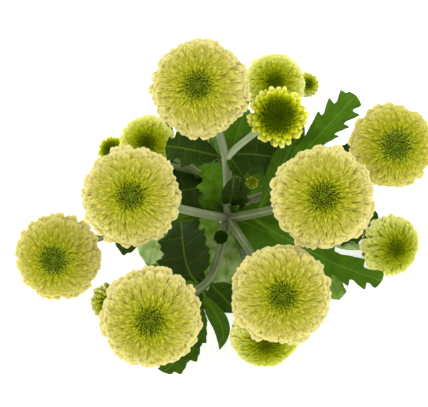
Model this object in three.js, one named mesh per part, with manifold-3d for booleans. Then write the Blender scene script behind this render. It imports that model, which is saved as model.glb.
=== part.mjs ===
// A cut spray of pompon chrysanthemum, laid on a flat surface.
// One woody stem lies along Y and bends up at its head into a fork, from which stalks fan out to the blooms. The
// crown of blooms leans back on its lowest three and faces forward (-Y) and up.
// Millimetres, +Z up. The origin is the middle of the footprint, on the surface that the spray lies on.
import * as THREE from 'three';
import { mergeVertices } from 'three/addons/utils/BufferGeometryUtils.js';
import Module from 'manifold-3d';

const wasm = await Module();
wasm.setup();

const V = (x, y, z) => new THREE.Vector3(x, y, z);
const rad = THREE.MathUtils.degToRad;

// ---------------------------------------------------------------- driving dimensions
const SEAT_GAP = 0.3; // between a bloom and its cup, and between a leaf and its stalk
const CROWN_TILT = rad(45); // the way the crown faces, above the horizon

const STEM = {
  cutEnd: V(-14.72, 146.28, 0), // where it is cut, above the surface by a little less than its radius
  radius: 3.3,
  forkRadius: 2.9,
  sink: 0.86, // its axis lies this share of its radius up, so its underside is pressed flat
  lying: 87, // the straight length that lies down
  bendRadius: 158,
  bend: rad(35),
  sway: 17, // how far it drifts to +X on the way to the fork
  slant: 0.6, // the cut's slope
};
const FORK_IN_CROWN = [7.5, -7.8, -88]; // across, uphill and out from the crown's middle

// ---------------------------------------------------------------- the stem's line and the crown's frame
const AXIS_HEIGHT = STEM.radius * STEM.sink;
const STEM_LENGTH = STEM.lying + STEM.bendRadius * STEM.bend;

class StemLine extends THREE.Curve {
  // From the cut end straight along the surface, then up an arc to the fork.
  getPoint(t, target = V(0, 0, 0)) {
    const run = t * STEM_LENGTH;
    const turn = Math.max(0, run - STEM.lying) / STEM.bendRadius;
    const forward = Math.min(run, STEM.lying) + STEM.bendRadius * Math.sin(turn);
    const rise = STEM.bendRadius * (1 - Math.cos(turn));
    const drift = STEM.sway * THREE.MathUtils.smoothstep(t, 0, 1);
    return target.set(STEM.cutEnd.x + drift, STEM.cutEnd.y - forward, AXIS_HEIGHT + rise);
  }
}
const stemLine = new StemLine();

const ACROSS = V(1, 0, 0);
const UPHILL = V(0, Math.sin(CROWN_TILT), Math.cos(CROWN_TILT));
const FACING = V(0, -Math.cos(CROWN_TILT), Math.sin(CROWN_TILT));
const crownVector = (across, uphill, out) =>
  V(0, 0, 0).addScaledVector(ACROSS, across).addScaledVector(UPHILL, uphill).addScaledVector(FACING, out);
const CROWN_MIDDLE = stemLine.getPoint(1).sub(crownVector(...FORK_IN_CROWN));
const inCrown = (across, uphill, out) => crownVector(across, uphill, out).add(CROWN_MIDDLE);

// ---------------------------------------------------------------- the blooms
// Rows of petals run from the rim in. Each root, belly and tip is [from the axis, above the base] as a share of the
// bloom's radius, and width is the petal's.
const FULL_ROWS = [
  { count: 12, root: [0.4, 0.22], belly: [0.84, 0.33], tip: [0.98, 0.29], width: 0.42 },
  { count: 12, root: [0.36, 0.5], belly: [0.78, 0.62], tip: [0.93, 0.6], width: 0.4 },
  { count: 8, root: [0.26, 0.62], belly: [0.6, 0.84], tip: [0.74, 0.87], width: 0.42 },
  { count: 6, root: [0.14, 0.66], belly: [0.35, 0.96], tip: [0.46, 1.03], width: 0.34 },
];
const HALF_ROWS = [
  { count: 11, root: [0.4, 0.24], belly: [0.83, 0.36], tip: [0.98, 0.33], width: 0.45 },
  { count: 11, root: [0.32, 0.52], belly: [0.72, 0.68], tip: [0.89, 0.7], width: 0.4 },
  { count: 6, root: [0.2, 0.62], belly: [0.44, 0.88], tip: [0.57, 0.96], width: 0.42 },
];
const OPENING_ROWS = [
  { count: 11, root: [0.34, 0.4], belly: [0.8, 0.5], tip: [0.98, 0.5], width: 0.36 },
  { count: 11, root: [0.34, 0.5], belly: [0.68, 0.68], tip: [0.84, 0.76], width: 0.32 },
];
const YOUNG_ROWS = [
  { count: 8, root: [0.34, 0.4], belly: [0.78, 0.52], tip: [0.98, 0.56], width: 0.42 },
  { count: 7, root: [0.3, 0.5], belly: [0.6, 0.74], tip: [0.76, 0.86], width: 0.36 },
];
const FULL_CORE = [[0.34, 0], [0.6, 0.18], [0.69, 0.46], [0.56, 0.76], [0.26, 0.96]];
const HALF_CORE = [[0.34, 0], [0.6, 0.2], [0.67, 0.46], [0.54, 0.74], [0.22, 0.9]];
const OPENING_CORE = [[0.36, 0], [0.58, 0.22], [0.6, 0.5], [0.48, 0.7], [0.18, 0.76]];
const BUD_CORE = [[0.42, 0], [0.84, 0.34], [0.98, 0.8], [0.82, 1.24], [0.5, 1.5], [0.2, 1.56]];

const STAGES = {
  full: { rows: FULL_ROWS, core: FULL_CORE, centre: 1.0, sides: 8, middle: 0.42 },
  half: { rows: HALF_ROWS, core: HALF_CORE, centre: 0.92, sides: 8, middle: 0.42 },
  opening: { rows: OPENING_ROWS, core: OPENING_CORE, centre: 0.72, sides: 9, middle: 0.5 },
  young: { rows: YOUNG_ROWS, core: OPENING_CORE, centre: 0.72, sides: 7, middle: 0.5 },
  bud: { rows: [], core: BUD_CORE, centre: 1.5, sides: 8, middle: 0.8 },
};

// at is [across, uphill, out] in the crown, at the bloom's widest. lean turns its face [to +X, uphill] in degrees.
// from names the line that its stalk leaves, and how far along it: 1 is the line's outer end.
const BLOOMS = [
  {
    name: 'bloom_top',
    stage: 'full',
    at: [-6.6, 55.2, 0],
    size: 48,
    lean: [-5, 2],
    from: ['stem', 1],
    via: [6, 23, -62],
  },
  { name: 'bloom_left', stage: 'full', at: [-39.8, 3.5, 0], size: 48.2, lean: [2, 0], from: ['stem', 1] },
  { name: 'bloom_right', stage: 'full', at: [52, 3, 4], size: 50.2, lean: [-2, 0], from: ['stem', 0.99] },
  { name: 'bloom_low_right', stage: 'full', at: [32.4, -43.8, 0], size: 49, lean: [0, 0], from: ['stem', 1] },
  {
    name: 'bloom_low_left',
    stage: 'full',
    at: [-30.2, -54.8, 0],
    size: 49.4,
    lean: [0, -5],
    from: ['stem', 1],
    via: [-3, -40, -60],
  },
  {
    name: 'bloom_far_left',
    stage: 'full',
    at: [-79, -26.8, -40],
    size: 44.2,
    lean: [-4, -7],
    from: ['stem', 0.9],
    via: [-50, -15, -84],
  },
  { name: 'bloom_far_right', stage: 'full', at: [89.9, 29.1, -40], size: 43.5, lean: [4, -2], from: ['stem', 0.86] },
  { name: 'bloom_right_low', stage: 'half', at: [95.2, -22.7, -97], size: 35.8, lean: [20, -12], from: ['stem', 0.56] },
  { name: 'bloom_rear', stage: 'half', at: [31.2, 61.8, -60], size: 34, lean: [0, 5], from: ['stem', 0.58] },
  { name: 'bloom_left_rear', stage: 'half', at: [-34.6, 31.4, -66], size: 30.8, lean: [-3, -4], from: ['stem', 0.68] },
  {
    name: 'bloom_front_low',
    stage: 'half',
    at: [26.2, -67.4, -48.6],
    size: 37.8,
    lean: [4, -28],
    from: ['stem', 0.78],
  },
  { name: 'opening_top', stage: 'opening', at: [31.7, 43.3, -28], size: 31.2, lean: [3, 3], from: ['bloom_top', 0.38] },
  { name: 'opening_front_left', stage: 'young', at: [-55, -53, -77], size: 25, lean: [-16, -12], from: ['stem', 0.88] },
  {
    name: 'opening_left',
    stage: 'young',
    at: [-55, 28.5, -92],
    size: 17.5,
    lean: [-14, 8],
    from: ['bloom_left_rear', 0.3],
  },
  { name: 'opening_rear', stage: 'young', at: [50, 63.8, -88], size: 15.5, lean: [12, 10], from: ['bloom_rear', 0.45] },
  { name: 'bud_middle', stage: 'bud', at: [3.6, -17.5, -62], size: 8, lean: [0, -6], from: ['stem', 1] },
  { name: 'bud_inner', stage: 'bud', at: [20, 11, -72], size: 7, lean: [12, 6], from: ['stem', 0.93] },
];

const STALK = { full: 2.0, half: 1.6, opening: 1.5, young: 1.3, bud: 1.0 }; // a stalk's radius where it is thinnest
const NECK = 14; // the length over which a jointed stalk runs straight into its bloom
const CUP_SHARE = 0.34; // the cup's radius, as a share of the bloom's

// ---------------------------------------------------------------- the leaves
// on names the line that a leaf grows on and how far along it, tip is where it ends, and arch how far its middle
// stands off the straight line. roll turns the blade about its length, in degrees, and bow bends it to its right.
// widest is the share of its length where it is widest, and lobes lists the shares where its lobes start to point
// ahead. A leaf without lobes has a smooth edge.
const EVEN_LOBES = { left: [0.25, 0.483, 0.717, 0.95], right: [0.367, 0.6, 0.833] };
const LEAF = { arch: 4, roll: 0, bow: 0, widest: 0.71, lobes: EVEN_LOBES }; // where a leaf doesn't say otherwise
const LEAVES = [
  {
    name: 'leaf_upper_right',
    on: ['bloom_right', 0.3],
    tip: inCrown(72.6, 55.5, -50),
    width: 18,
    arch: 7,
    roll: -12,
    bow: 1,
    widest: 0.82,
    lobes: { left: [0.48, 0.74, 0.84], right: [0.35, 0.61, 0.71, 0.79, 0.88] },
  },
  {
    name: 'leaf_lower_right',
    on: ['bloom_right', 0.22],
    tip: inCrown(87, -39.8, -58),
    width: 17,
    arch: 9,
    roll: 10,
    bow: 3,
    widest: 0.66,
    lobes: { left: [0.42, 0.6, 0.8], right: [0.3, 0.5, 0.66, 0.78, 0.88] },
  },
  {
    name: 'leaf_bottom',
    on: ['bloom_low_left', 0.48],
    tip: inCrown(2.7, -75.7, -58),
    width: 9.5,
    roll: 10,
    bow: -12,
    widest: 0.55,
    lobes: null,
  },
  {
    name: 'leaf_bottom_left',
    on: ['bloom_low_left', 0.5],
    tip: inCrown(-26, -86.2, -48),
    width: 18,
    arch: 5,
    bow: -11,
    widest: 0.55,
    lobes: { left: [0.5, 0.72, 0.9], right: [0.36, 0.6, 0.78, 0.92] },
  },
  {
    name: 'leaf_left_inner',
    on: ['bloom_low_left', 0.47],
    tip: inCrown(-18, -8, -84),
    width: 29,
    roll: -8,
    widest: 0.42,
  },
  { name: 'leaf_upper_left', on: ['bloom_top', 0.4], tip: inCrown(-24.5, 29.5, -48), width: 20, roll: 8 },
  {
    name: 'leaf_upper_inner',
    on: ['bloom_top', 0.39],
    tip: inCrown(41, 23, -70),
    width: 24,
    arch: 3,
    roll: -8,
    widest: 0.52,
  },
  { name: 'leaf_top_inner', on: ['bloom_top', 0.35], tip: inCrown(16, 48, -72), width: 20 },
  { name: 'leaf_fork', on: ['stem', 0.985], tip: inCrown(13.5, 13.5, -55), width: 14, arch: 2, bow: 3, widest: 0.55 },
  { name: 'leaf_left_low', on: ['stem', 0.84], tip: inCrown(-55, -20, -104), width: 26, arch: 7, roll: 6 },
  { name: 'leaf_left_under', on: ['stem', 0.95], tip: inCrown(-37.5, -32, -98.5), width: 25, arch: 6 },
  { name: 'leaf_right_low', on: ['stem', 0.95], tip: inCrown(43, -22, -84), width: 31, arch: 6, widest: 0.56 },
  { name: 'leaf_far_right', on: ['bloom_far_right', 0.45], tip: inCrown(74, 28, -76), width: 14 },
  { name: 'leaf_right_edge', on: ['bloom_right_low', 0.6], tip: inCrown(80, -18, -94), width: 20 },
  { name: 'leaf_right_under', on: ['bloom_right_low', 0.5], tip: inCrown(66, -51, -80), width: 15 },
  { name: 'leaf_stem_front', on: ['stem', 0.86], tip: inCrown(7, -57, -79), width: 38, arch: 4, widest: 0.6 },
  { name: 'leaf_stem_left', on: ['stem', 0.7], tip: inCrown(-36, 2, -114), width: 46, arch: 7, roll: 10 },
  { name: 'leaf_stem_right', on: ['stem', 0.66], tip: inCrown(38, 5, -113), width: 46, arch: 7, roll: -10 },
  { name: 'leaf_stem_rear_left', on: ['stem', 0.5], tip: inCrown(-18, 28, -122), width: 42, arch: 7, roll: 6 },
  { name: 'leaf_stem_rear_right', on: ['stem', 0.4], tip: inCrown(25, 34, -127), width: 42, arch: 7, roll: -6 },
  { name: 'leaf_behind_fork', on: ['stem', 0.86], tip: inCrown(-2, 21, -99), width: 24, widest: 0.5 },
].map((leaf) => ({ ...LEAF, ...leaf }));
const LEAF_THICKNESS = { edge: 0.7, rib: 1.3 };
const PETIOLE_SHARE = 0.16; // of a leaf's length, before the blade widens
const PETIOLE_RADIUS = 0.9;
const NOTCH_DEPTH = 0.5; // of a notch close to the tip, as a share of the blade's half width; it is less near the foot
const TIP_REACH = 0.3; // a lobed leaf's blunt tip, as a share of its half width

// ---------------------------------------------------------------- materials
const paint = (color, roughness) => new THREE.MeshStandardMaterial({ color, roughness, metalness: 0 });
const MATERIALS = {
  stem: paint(0x6b7a4c, 0.7),
  leaf: paint(0x3f6516, 0.6),
  full: paint(0xcdc06a, 0.75),
  half: paint(0xb4bd55, 0.75),
  opening: paint(0x9aad2c, 0.75),
  young: paint(0x9aad2c, 0.75),
  bud: paint(0x4f6a1c, 0.75),
};

// ---------------------------------------------------------------- solids and geometries
// A seeded random number generator, so that each build draws the same petals.
function seeded(seed) {
  let state = seed;
  return () => {
    state = (state + 0x6d2b79f5) | 0;
    let mixed = Math.imul(state ^ (state >>> 15), 1 | state);
    mixed = (mixed + Math.imul(mixed ^ (mixed >>> 7), 61 | mixed)) ^ mixed;
    return ((mixed ^ (mixed >>> 14)) >>> 0) / 4294967296;
  };
}

function geometryOf(points, triangles) {
  const geometry = new THREE.BufferGeometry().setFromPoints(points);
  geometry.setIndex(triangles.flat());
  return geometry;
}

// A closed geometry as a solid, with its faces turned out.
function solidOf(geometry) {
  const bare = geometry.clone();
  bare.deleteAttribute('normal');
  bare.deleteAttribute('uv');
  const merged = mergeVertices(bare, 1e-4);
  const indices = merged.index.array;
  const triVerts = [];
  for (let i = 0; i < indices.length; i += 3) {
    const [a, b, c] = indices.slice(i, i + 3);
    if (a !== b && b !== c && c !== a) triVerts.push(a, b, c);
  }
  const make = (order) =>
    new wasm.Manifold(
      new wasm.Mesh({
        numProp: 3,
        vertProperties: merged.attributes.position.array,
        triVerts: new Uint32Array(order),
      }),
    );
  const solid = make(triVerts);
  return solid.volume() < 0 ? make(triVerts.toReversed()) : solid;
}

function geometryFrom(solid) {
  const mesh = solid.getMesh();
  const geometry = new THREE.BufferGeometry();
  geometry.setAttribute('position', new THREE.Float32BufferAttribute(mesh.vertProperties, 3));
  geometry.setIndex([...mesh.triVerts]);
  return geometry;
}

const SLIVER = 0.02; // edges that a union leaves shorter than this are closed up
const fuse = (geometries) => wasm.Manifold.union(geometries.map(solidOf)).simplify(SLIVER);

// A closed skin over rings of as many points each.
function loft(rings) {
  const sides = rings[0].length;
  const points = rings.flat();
  const triangles = [];
  for (let ring = 0; ring + 1 < rings.length; ring++) {
    for (let side = 0; side < sides; side++) {
      const a = ring * sides + side;
      const b = ring * sides + ((side + 1) % sides);
      triangles.push([a, b, b + sides], [a, b + sides, a + sides]);
    }
  }
  const last = (rings.length - 1) * sides;
  for (let side = 1; side + 1 < sides; side++) {
    triangles.push([0, side + 1, side], [last, last + side, last + side + 1]);
  }
  return geometryOf(points, triangles);
}

// ---------------------------------------------------------------- blooms
// One petal: a keeled scale that widens from a point in the core to its belly and ends in a rounded tip.
function petal(row, angle, radius, draw) {
  const KEEL = 0.085; // how deep the keel lies under the petal's face, at the belly
  const TIP_WIDTH = 0.68; // of the belly's width
  const NOSE = 0.07; // how far the tip's middle stands ahead of its corners
  const outward = V(Math.cos(angle), Math.sin(angle), 0);
  const sideways = V(-Math.sin(angle), Math.cos(angle), 0);
  const stretch = 1 + 0.06 * (draw() - 0.6);
  const raise = 0.04 * (draw() - 0.5);
  const halfWidth = (row.width / 2) * (1 + 0.1 * (draw() - 0.5));
  const at = ([out, up]) => V(0, 0, up + raise).addScaledVector(outward, out * stretch);
  const [root, belly, tip] = [at(row.root), at(row.belly), at(row.tip)];
  const ahead = tip.clone().sub(belly).normalize();
  const spread = (middle, reach) => middle.clone().addScaledVector(sideways, reach);
  const points = [
    root,
    spread(belly, -halfWidth),
    spread(belly, halfWidth),
    belly.clone().addScaledVector(sideways.clone().cross(ahead), KEEL),
    spread(tip, -halfWidth * TIP_WIDTH),
    spread(tip, halfWidth * TIP_WIDTH),
    tip.clone().addScaledVector(ahead, NOSE),
  ];
  points.forEach((point) => point.multiplyScalar(radius));
  const face = [[0, 1, 2], [1, 4, 5], [1, 5, 2], [4, 6, 5]];
  const back = [[0, 3, 1], [0, 2, 3], [1, 3, 4], [3, 6, 4], [3, 5, 6], [2, 5, 3]];
  return geometryOf(points, [...face, ...back]);
}

// A bloom in its own frame: its base is at z = 0 and its face looks up Z.
function bloomSolid(stage, radius, seed) {
  const draw = seeded(seed);
  const { rows, core, centre, sides } = STAGES[stage];
  const profile = [[0, 0], ...core, [0, centre]].map(([r, z]) => new THREE.Vector2(r * radius, z * radius));
  const lathe = new THREE.LatheGeometry(profile, sides).rotateX(Math.PI / 2);
  const petals = rows.flatMap((row, level) =>
    Array.from({ length: row.count }, (_, i) => {
      const angle = ((i + level / 2 + 0.3 * (draw() - 0.5)) * 2 * Math.PI) / row.count;
      return petal(row, angle, radius, draw);
    }),
  );
  return fuse([lathe, ...petals]);
}

// Where a bloom's face looks, and the middle of its base.
function stance(bloom) {
  const [aside, uphill] = bloom.lean.map(rad);
  const axis = crownVector(Math.tan(aside), Math.tan(uphill), 1).normalize();
  const radius = bloom.size / 2;
  const base = inCrown(...bloom.at).addScaledVector(axis, -STAGES[bloom.stage].middle * radius);
  return { axis, base, radius };
}

const UP = V(0, 0, 1);

function bloomMesh(bloom, index) {
  const { axis, base, radius } = stance(bloom);
  const turn = new THREE.Quaternion().setFromUnitVectors(UP, axis);
  const surface = UP.clone().applyQuaternion(turn.clone().invert());
  const solid = bloomSolid(bloom.stage, radius, index + 1).trimByPlane(surface.toArray(), -base.z);
  const mesh = new THREE.Mesh(geometryFrom(solid), MATERIALS[bloom.stage]);
  mesh.name = bloom.name;
  mesh.position.copy(base);
  mesh.quaternion.copy(turn);
  return mesh;
}

// ---------------------------------------------------------------- the stem, its stalks and cups
const lines = new Map([['stem', stemLine]]);

// A stalk leaves its parent partly along the parent's own way, and comes up into the bloom along the bloom's axis.
function stalkLine(bloom) {
  const FOLLOW = 0.5; // how much of the parent's way it keeps at first
  const EASE = 0.34; // the share of its reach over which it turns, at each end
  const { axis, base } = stance(bloom);
  const [parentName, share] = bloom.from;
  const parent = lines.get(parentName);
  const start = parent.getPointAt(share);
  const end = base.clone().addScaledVector(axis, -SEAT_GAP);
  if (bloom.via) {
    const neck = end.clone().addScaledVector(axis, -NECK);
    return new THREE.CatmullRomCurve3([start, inCrown(...bloom.via), neck, end]);
  }
  const straight = end.clone().sub(start);
  const reach = straight.length();
  const ahead = parent.getTangentAt(share).multiplyScalar(FOLLOW).add(straight.normalize()).normalize();
  return new THREE.CubicBezierCurve3(
    start,
    start.clone().addScaledVector(ahead, reach * EASE),
    end.clone().addScaledVector(axis, -reach * EASE),
    end,
  );
}
BLOOMS.forEach((bloom) => lines.set(bloom.name, stalkLine(bloom)));

// The rings of a rod along a line: one at each share of its length, with the radius there.
function rodRings(line, shares, radiusAt, sides) {
  return shares.map((share) => {
    const ahead = line.getTangentAt(share);
    const level = ahead.clone().cross(UP).normalize();
    const upright = level.clone().cross(ahead);
    const middle = line.getPointAt(share);
    return Array.from({ length: sides }, (_, i) => {
      const angle = ((i + 0.5) * 2 * Math.PI) / sides;
      return middle
        .clone()
        .addScaledVector(level, radiusAt(share) * Math.cos(angle))
        .addScaledVector(upright, radiusAt(share) * Math.sin(angle));
    });
  });
}

const evenly = (count, from, to) => Array.from({ length: count }, (_, i) => from + ((to - from) * i) / (count - 1));

// The main stem, thickened by extra, with its end cut on a slant.
function stemRod(extra) {
  const STATIONS = 12;
  const SIDES = 8;
  const radiusAt = (share) => THREE.MathUtils.lerp(STEM.radius, STEM.forkRadius, share) + extra;
  const rings = rodRings(stemLine, evenly(STATIONS, 0, 1), radiusAt, SIDES);
  rings[0].forEach((point) => {
    point.y += (point.z - AXIS_HEIGHT) * STEM.slant;
  });
  return loft(rings);
}

// A stalk, thickened by extra. It swells towards its foot and opens into the green cup that its bloom sits in.
function stalkRod(bloom, extra) {
  const STATIONS = 4;
  const SIDES = 6;
  const FOOT_SWELL = 0.25;
  const line = lines.get(bloom.name);
  const length = line.getLength();
  const thin = STALK[bloom.stage];
  const rim = CUP_SHARE * stance(bloom).radius;
  const cup = [
    { back: 1.3 * rim, radius: thin },
    { back: 0.75 * rim, radius: Math.max(thin, 0.42 * rim) },
    { back: 0.35 * rim, radius: 0.86 * rim },
    { back: 0, radius: rim },
  ];
  const cupShares = cup.map(({ back }) => 1 - back / length);
  const stalkShares = evenly(STATIONS, 0, cupShares[0]).slice(0, -1);
  const radiusAt = (share) => {
    const inCup = cupShares.indexOf(share);
    return extra + (inCup < 0 ? thin * (1 + FOOT_SWELL * (1 - share) ** 2) : cup[inCup].radius);
  };
  return loft(rodRings(line, [...stalkShares, ...cupShares], radiusAt, SIDES));
}

// The stem with every stalk and cup, thickened all round by extra.
const stemSolid = (extra) => fuse([stemRod(extra), ...BLOOMS.map((bloom) => stalkRod(bloom, extra))]);

function stemMesh() {
  const solid = stemSolid(0).trimByPlane(UP.toArray(), 0);
  const mesh = new THREE.Mesh(geometryFrom(solid), MATERIALS.stem);
  mesh.name = 'stem';
  return mesh;
}

// ---------------------------------------------------------------- leaves
const alongBlade = (share) => (share - PETIOLE_SHARE) / (1 - PETIOLE_SHARE);

// How far the blade reaches to each side at a share of its length, as a share of its half width. It follows a stretch
// of a sine's arch, whose crest lies where the leaf is widest. A lobed leaf ends in a blunt tip, another in a point.
function reachAt(leaf, share) {
  const { start, stretch, fullness } = leaf.lobes
    ? { start: 0.05, stretch: 0.8, fullness: 0.6 }
    : { start: 0.06, stretch: 0.92, fullness: 0.85 };
  if (leaf.lobes && share === 1) return TIP_REACH;
  const power = Math.log((0.5 - start) / stretch) / Math.log(alongBlade(leaf.widest));
  return Math.sin(Math.PI * (start + stretch * alongBlade(share) ** power)) ** fullness;
}

// A leaf's midrib: it leaves its line at a slant, arches over and ends at the tip.
function ribLine(leaf, side, face, ahead) {
  const SLANT = 0.5; // how much of the line's own way it keeps at first
  const FOOT_EASE = 0.28; // the share of its length over which it turns, at its foot
  const TIP_EASE = 0.36;
  const ARCH_PULL = 1.6; // how far the curve's control point stands off, for an arch of one
  const [lineName, share] = leaf.on;
  const line = lines.get(lineName);
  const foot = line.getPointAt(share);
  const along = line.getTangentAt(share);
  const length = foot.distanceTo(leaf.tip);
  const away = ahead.clone().projectOnPlane(along).normalize().addScaledVector(along, SLANT).normalize();
  const beforeTip = leaf.tip
    .clone()
    .addScaledVector(ahead, -TIP_EASE * length)
    .addScaledVector(face, ARCH_PULL * leaf.arch)
    .addScaledVector(side, leaf.bow);
  const afterFoot = foot.clone().addScaledVector(away, FOOT_EASE * length);
  return new THREE.CubicBezierCurve3(foot, afterFoot, beforeTip, leaf.tip);
}

// The stations of a leaf, from foot to tip: three points across each, and half the thickness at each of them. There is
// a station at each lobe, where the other side has a notch.
function leafStations(leaf, rib, side, face) {
  const LIFT = 0.16; // how far an edge stands above the rib, as a share of its reach
  const SWEEP = 0.05; // how far a lobe points ahead, as a share of the length
  const { left, right } = leaf.lobes ?? EVEN_LOBES;
  const shares = [0, PETIOLE_SHARE, ...[...left, ...right].sort((a, b) => a - b), 1];
  const { edge, rib: ribThickness } = LEAF_THICKNESS;
  return shares.map((share) => {
    const isBlade = share > PETIOLE_SHARE;
    const edgePoint = (sign, lobes) => {
      const isLobe = Boolean(leaf.lobes) && lobes.includes(share);
      const isNotch = Boolean(leaf.lobes) && share < 1 && !isLobe;
      const fullness = isNotch ? 1 - NOTCH_DEPTH * share ** 2 : 1;
      const reach = isBlade ? (leaf.width / 2) * reachAt(leaf, share) * fullness : PETIOLE_RADIUS;
      return rib
        .getPoint(isLobe ? Math.min(1, share + SWEEP) : share)
        .addScaledVector(side, sign * reach)
        .addScaledVector(face, isBlade ? LIFT * reach : 0);
    };
    return {
      points: [edgePoint(-1, left), rib.getPoint(share), edgePoint(1, right)],
      halves: [edge / 2, ribThickness / 2, edge / 2],
    };
  });
}

// A thin blade over stations of three points, split into triangles alike on its upper and under sides.
function bladeGeometry(stations, face) {
  const WIDE = 3;
  const sheet = (sign) =>
    stations.flatMap(({ points, halves }) => points.map((p, c) => p.clone().addScaledVector(face, sign * halves[c])));
  const under = stations.length * WIDE;
  const last = under - WIDE;
  const triangles = [];
  const both = (a, b, c) => triangles.push([a, b, c], [under + a, under + c, under + b]);
  const wall = (a, b) => triangles.push([a, under + a, under + b], [a, under + b, b]);
  for (let at = 0; at < last; at += WIDE) {
    const next = at + WIDE;
    both(at, at + 1, next);
    both(at + 1, next + 1, next);
    both(at + 1, at + 2, next + 2);
    both(at + 1, next + 2, next + 1);
    wall(next, at);
    wall(at + 2, next + 2);
  }
  for (const column of [0, 1]) {
    wall(column, column + 1);
    wall(last + column + 1, last + column);
  }
  return geometryOf([...sheet(1), ...sheet(-1)], triangles);
}

// The room that the stem takes, with the gap round it: a leaf's foot is cut back to it. The stem's own corners reach
// nearer than its flats, so the gap is taken a little wide.
const ROOM_GAP = 1.2 * SEAT_GAP;
const stemRoom = stemSolid(ROOM_GAP);
const largest = (solid) => solid.decompose().reduce((most, part) => (part.volume() > most.volume() ? part : most));

function leafMesh(leaf) {
  const [lineName, share] = leaf.on;
  const ahead = leaf.tip.clone().sub(lines.get(lineName).getPointAt(share)).normalize();
  const side = ahead.clone().cross(FACING).normalize().applyAxisAngle(ahead, rad(leaf.roll));
  const face = side.clone().cross(ahead);
  const stations = leafStations(leaf, ribLine(leaf, side, face, ahead), side, face);
  const solid = solidOf(bladeGeometry(stations, face)).subtract(stemRoom);
  const mesh = new THREE.Mesh(geometryFrom(largest(solid)), MATERIALS.leaf);
  mesh.name = leaf.name;
  return mesh;
}

// ---------------------------------------------------------------- the spray
const spray = new THREE.Group();
spray.add(stemMesh(), ...BLOOMS.map(bloomMesh), ...LEAVES.map(leafMesh));

export default spray;
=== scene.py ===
"""A cut spray of pompon chrysanthemum: fine blooms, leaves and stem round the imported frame.

Shapes are worked out in millimetres, in the frame of the part, and written as metres. The lines and sizes of the
stem, blooms and leaves are those of the part's source, so each fine piece lies where its CAD node is.
"""

import math
from dataclasses import dataclass, field
from typing import NamedTuple

import bpy
import numpy as np
from mathutils import Matrix, Vector


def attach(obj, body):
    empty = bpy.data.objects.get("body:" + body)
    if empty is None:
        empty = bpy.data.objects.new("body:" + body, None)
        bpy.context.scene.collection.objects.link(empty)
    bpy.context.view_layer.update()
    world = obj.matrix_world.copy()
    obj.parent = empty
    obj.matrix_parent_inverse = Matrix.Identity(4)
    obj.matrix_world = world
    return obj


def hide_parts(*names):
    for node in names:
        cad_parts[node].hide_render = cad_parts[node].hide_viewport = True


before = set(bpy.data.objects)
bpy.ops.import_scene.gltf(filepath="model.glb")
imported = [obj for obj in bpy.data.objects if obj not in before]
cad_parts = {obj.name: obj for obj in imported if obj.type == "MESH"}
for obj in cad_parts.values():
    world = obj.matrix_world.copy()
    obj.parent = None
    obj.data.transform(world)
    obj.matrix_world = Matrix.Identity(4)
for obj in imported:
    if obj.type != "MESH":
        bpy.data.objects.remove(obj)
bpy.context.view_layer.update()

MM = 0.001


# ---- small maths
def vec(*xyz):
    return np.array(xyz, float)


def unit(v):
    return v / np.maximum(np.linalg.norm(v, axis=-1, keepdims=True), 1e-12)


def smooth(low, high, x):
    t = np.clip((x - low) / (high - low), 0, 1)
    return t * t * (3 - 2 * t)


def mix(a, b, t):
    return a + (b - a) * t


def turned(v, axis, angle):
    """v turned about a unit axis."""
    return v * math.cos(angle) + np.cross(axis, v) * math.sin(angle) + axis * np.dot(axis, v) * (1 - math.cos(angle))


def bezier(p, t):
    """The cubic Bezier curve of four control points, at each t."""
    t = np.asarray(t, float)[..., None]
    return (1 - t) ** 3 * p[0] + 3 * t * (1 - t) ** 2 * p[1] + 3 * t**2 * (1 - t) * p[2] + t**3 * p[3]


def centripetal(points, samples=60):
    """A centripetal Catmull-Rom curve through the points, with its open ends carried straight on."""
    p = [2 * points[0] - points[1], *points, 2 * points[-1] - points[-2]]
    found = []
    for i in range(len(points) - 1):
        a, b, c, d = p[i : i + 4]
        ta, tb, tc = (max(math.sqrt(np.linalg.norm(v)), 1e-4) for v in (b - a, c - b, d - c))
        m1 = ((b - a) / ta - (c - a) / (ta + tb) + (c - b) / tb) * tb
        m2 = ((c - b) / tb - (d - b) / (tb + tc) + (d - c) / tc) * tb
        t = np.linspace(0, 1, samples, endpoint=i == len(points) - 2)[:, None]
        found.append(
            (2 * t**3 - 3 * t**2 + 1) * b + (t**3 - 2 * t**2 + t) * m1 + (3 * t**2 - 2 * t**3) * c + (t**3 - t**2) * m2
        )
    return np.concatenate(found)


class Line:
    """A smooth line, read by the share of its length."""

    def __init__(self, points):
        self.points = points
        self.run = np.concatenate([[0], np.cumsum(np.linalg.norm(np.diff(points, axis=0), axis=1))])
        self.length = self.run[-1]
        self.ways = unit(np.gradient(points, self.run, axis=0))

    def _read(self, table, share):
        run = np.asarray(share, float) * self.length
        return np.stack([np.interp(run, self.run, table[:, k]) for k in range(3)], -1)

    def at(self, share):
        return self._read(self.points, share)

    def way(self, share):
        return unit(self._read(self.ways, share))


# ---- the stem's line and the crown's frame
SEAT_GAP = 0.3  # between a cup and its bloom
CROWN_TILT = math.radians(45)
STEM_CUT = vec(-14.72, 146.28, 0)
STEM_RADIUS, FORK_RADIUS = 3.3, 2.9
# The stem lies straight from its cut end, then bends up to the fork, and sways to +X on its whole way.
STEM_LYING, STEM_BEND_RADIUS, STEM_BEND = 87, 158, math.radians(35)
STEM_LENGTH = STEM_LYING + STEM_BEND_RADIUS * STEM_BEND
STEM_SWAY = 17
CUT_SLANT = 0.6
AXIS_HEIGHT = STEM_RADIUS * 0.86  # the underside is pressed flat
FORK_IN_CROWN = (7.5, -7.8, -88)

ACROSS = vec(1, 0, 0)
UPHILL = vec(0, math.sin(CROWN_TILT), math.cos(CROWN_TILT))
FACING = vec(0, -math.cos(CROWN_TILT), math.sin(CROWN_TILT))
UP = vec(0, 0, 1)


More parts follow.
